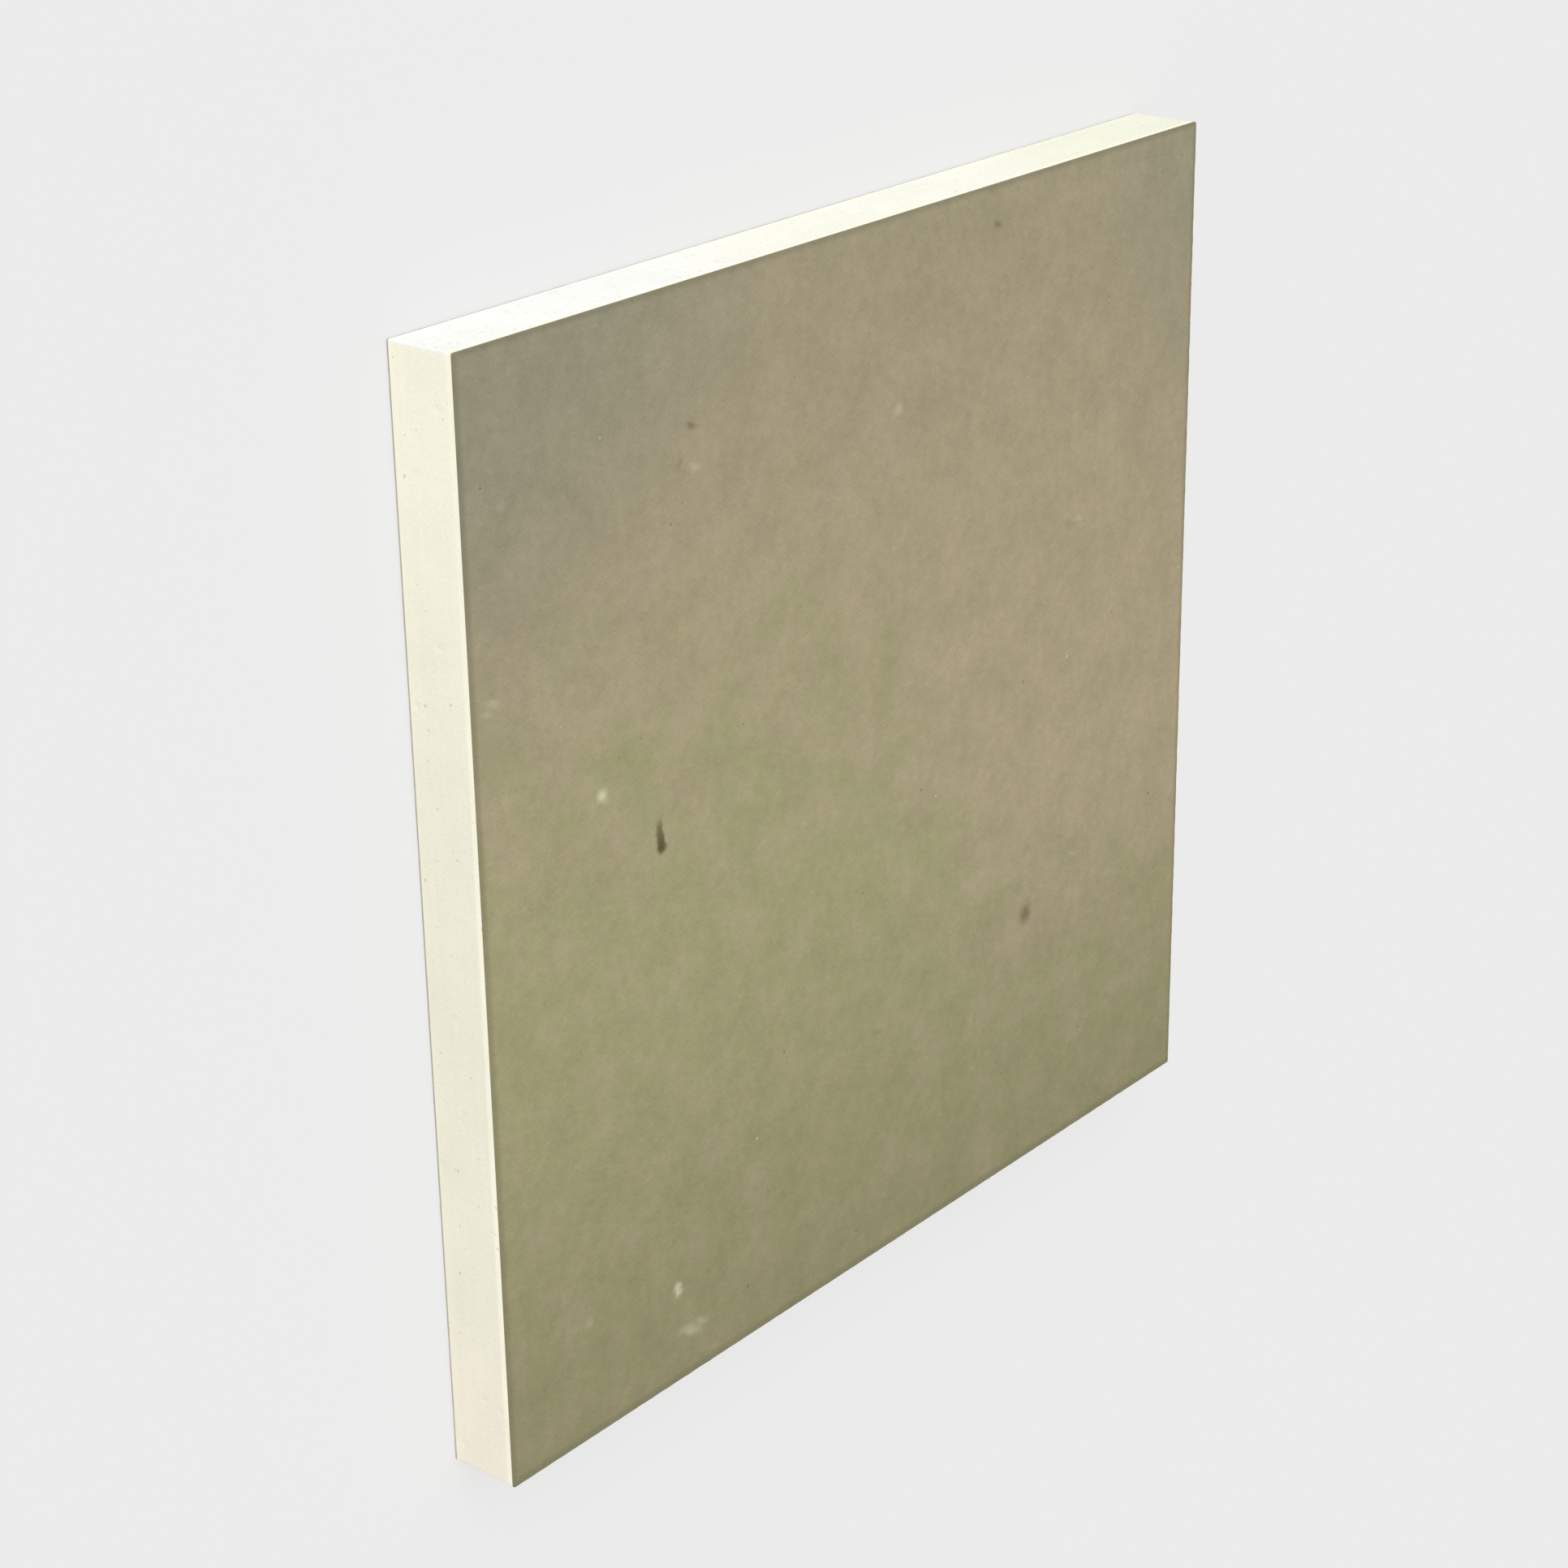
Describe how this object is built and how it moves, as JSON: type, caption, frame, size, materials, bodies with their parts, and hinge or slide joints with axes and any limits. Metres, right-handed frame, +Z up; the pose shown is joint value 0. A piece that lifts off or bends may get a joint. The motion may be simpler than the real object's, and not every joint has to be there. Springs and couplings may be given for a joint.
{
  "type": "drywall sheet",
  "caption": "Square-cut piece of gypsum wallboard lying flat: a pale gypsum core bonded between a grey-tan face paper and a grey back paper, with bare cut edges.",
  "frame": {"origin": "centre of the back paper's underside, on the floor that the board lies on", "axes": "+Z up through the board's thickness and out of the face paper; X and Y along the sawn edges"},
  "size_m": [0.18, 0.18, 0.0127],
  "materials": {
    "gypsum": "matte",
    "face_paper": "matte",
    "back_paper": "matte"
  },
  "bodies": {
    "root": {"back_paper": "back_paper", "gypsum_core": "gypsum", "face_paper": "face_paper"}
  },
  "joints": []
}
